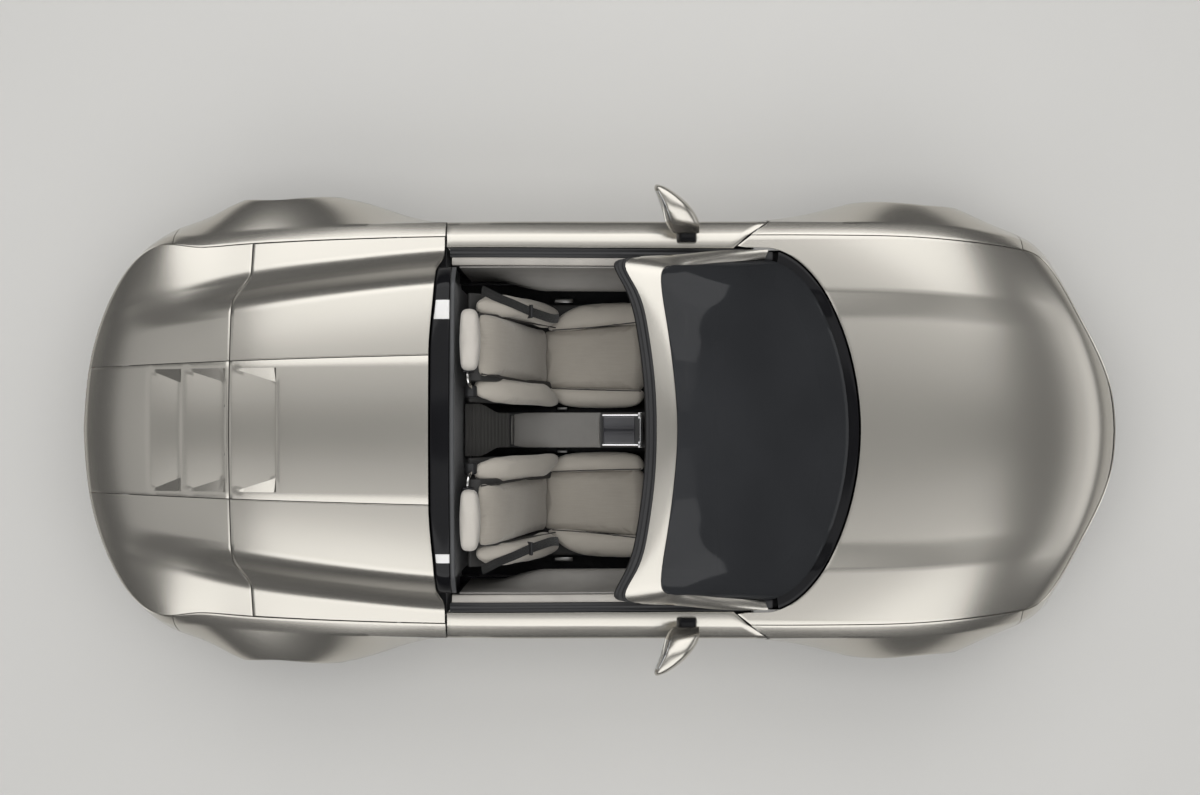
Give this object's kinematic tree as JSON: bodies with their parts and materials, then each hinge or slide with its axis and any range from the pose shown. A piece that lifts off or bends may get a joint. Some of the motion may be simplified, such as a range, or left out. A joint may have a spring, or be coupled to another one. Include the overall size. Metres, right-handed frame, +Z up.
{
  "type": "open two-seat sports car",
  "caption": "Low open two-seat sports car with wide wheel flares, hinged doors, bonnet and rear deck, steered front wheels and a louvred tail.",
  "frame": {"origin": "centre of the car's bounding box, on the road", "axes": "+X forward, +Y to the car's left, +Z up"},
  "size_m": [4.4958, 1.976, 1.209],
  "materials": {
    "body_paint": "satin champagne silver metallic",
    "gloss_black": "gloss",
    "matt_black": "matt",
    "structure": "dark painted steel and castings",
    "seat_cloth": "woven grey-beige cloth",
    "dark_trim": "soft grained trim",
    "tyre": "matt rubber",
    "alloy": "satin grey",
    "glass": "dark tinted, clear",
    "lamp_glass": "clear",
    "red_glass": "gloss red"
  },
  "bodies": {
    "body": {"floor_tub": "structure", "undertray": "matt_black", "front_subframe": "structure", "rear_subframe": "structure", "power_unit": "structure", "luggage_tub": "matt_black", "stowage_tray": "matt_black", "front_fender_left": "body_paint", "front_fender_right": "body_paint", "rear_quarter_left": "body_paint", "rear_quarter_right": "body_paint", "sill_left": "body_paint", "sill_right": "body_paint", "tail_panel_left": "body_paint", "tail_panel_right": "body_paint", "tail_panel_centre": "body_paint", "headlamp_left": "lamp_glass", "headlamp_right": "lamp_glass", "front_bumper": "body_paint", "rear_bumper": "body_paint", "front_grille": "matt_black", "tail_lamp": "red_glass", "windscreen_frame": "body_paint", "windscreen": "glass", "cowl": "gloss_black", "bulkhead_trim": "gloss_black", "dashboard": "dark_trim", "steering_column": "matt_black", "centre_console": "dark_trim", "control_box": "alloy", "driver_seat": "seat_cloth", "passenger_seat": "seat_cloth", "rear_knuckle_left": "structure", "rear_knuckle_right": "structure"},
    "front_knuckle_left": {"front_knuckle_left": "structure"},
    "front_knuckle_right": {"front_knuckle_right": "structure"},
    "steering_wheel": {"steering_wheel": "dark_trim"},
    "front_wheel_left": {"front_rim_left": "alloy", "front_tyre_left": "tyre"},
    "front_wheel_right": {"front_rim_right": "alloy", "front_tyre_right": "tyre"},
    "rear_wheel_left": {"rear_rim_left": "alloy", "rear_tyre_left": "tyre"},
    "rear_wheel_right": {"rear_rim_right": "alloy", "rear_tyre_right": "tyre"},
    "door_left": {"door_left": "body_paint", "mirror_left": "body_paint"},
    "door_right": {"door_right": "body_paint", "mirror_right": "body_paint"},
    "hood": {"hood": "body_paint"},
    "deck_lid": {"deck_panel_left": "body_paint", "deck_panel_right": "body_paint", "deck_panel_centre": "body_paint"}
  },
  "joints": [
    {"name": "steer_left", "type": "hinge", "parent": "body", "child": "front_knuckle_left", "pos_m": [1.272, 0.7575, 0.345], "axis": [0, 0, 1], "range_deg": [-30, 30]},
    {"name": "steer_right", "type": "hinge", "parent": "body", "child": "front_knuckle_right", "pos_m": [1.272, -0.7575, 0.345], "axis": [0, 0, 1], "range_deg": [-30, 30]},
    {"name": "steering_wheel_turn", "type": "hinge", "parent": "body", "child": "steering_wheel", "pos_m": [0.352, 0.338, 0.772], "axis": [-0.9063, 0, 0.4226], "range_deg": [-360, 360]},
    {"name": "front_wheel_left_spin", "type": "hinge", "parent": "front_knuckle_left", "child": "front_wheel_left", "pos_m": [1.272, 0.8175, 0.345], "axis": [0, 1, 0], "continuous": true},
    {"name": "front_wheel_right_spin", "type": "hinge", "parent": "front_knuckle_right", "child": "front_wheel_right", "pos_m": [1.272, -0.8175, 0.345], "axis": [0, 1, 0], "continuous": true},
    {"name": "rear_wheel_left_spin", "type": "hinge", "parent": "body", "child": "rear_wheel_left", "pos_m": [-1.296, 0.8125, 0.355], "axis": [0, 1, 0], "continuous": true},
    {"name": "rear_wheel_right_spin", "type": "hinge", "parent": "body", "child": "rear_wheel_right", "pos_m": [-1.296, -0.8125, 0.355], "axis": [0, 1, 0], "continuous": true},
    {"name": "door_left_hinge", "type": "hinge", "parent": "body", "child": "door_left", "pos_m": [0.5565, 0.858, 0.49], "axis": [0, 0, -1], "range_deg": [0, 65]},
    {"name": "door_right_hinge", "type": "hinge", "parent": "body", "child": "door_right", "pos_m": [0.5565, -0.858, 0.49], "axis": [0, 0, 1], "range_deg": [0, 65]},
    {"name": "hood_hinge", "type": "hinge", "parent": "body", "child": "hood", "pos_m": [2.2065, 0, 0.57421], "axis": [0, 1, 0], "range_deg": [0, 55]},
    {"name": "deck_lid_hinge", "type": "hinge", "parent": "body", "child": "deck_lid", "pos_m": [-1.491, 0, 0.99103], "axis": [0, -1, 0], "range_deg": [0, 45]}
  ],
  "couplings": [
    {"joint": "steer_right", "follows": "steer_left", "ratio": 1},
    {"joint": "steering_wheel_turn", "follows": "steer_left", "ratio": 12}
  ]
}
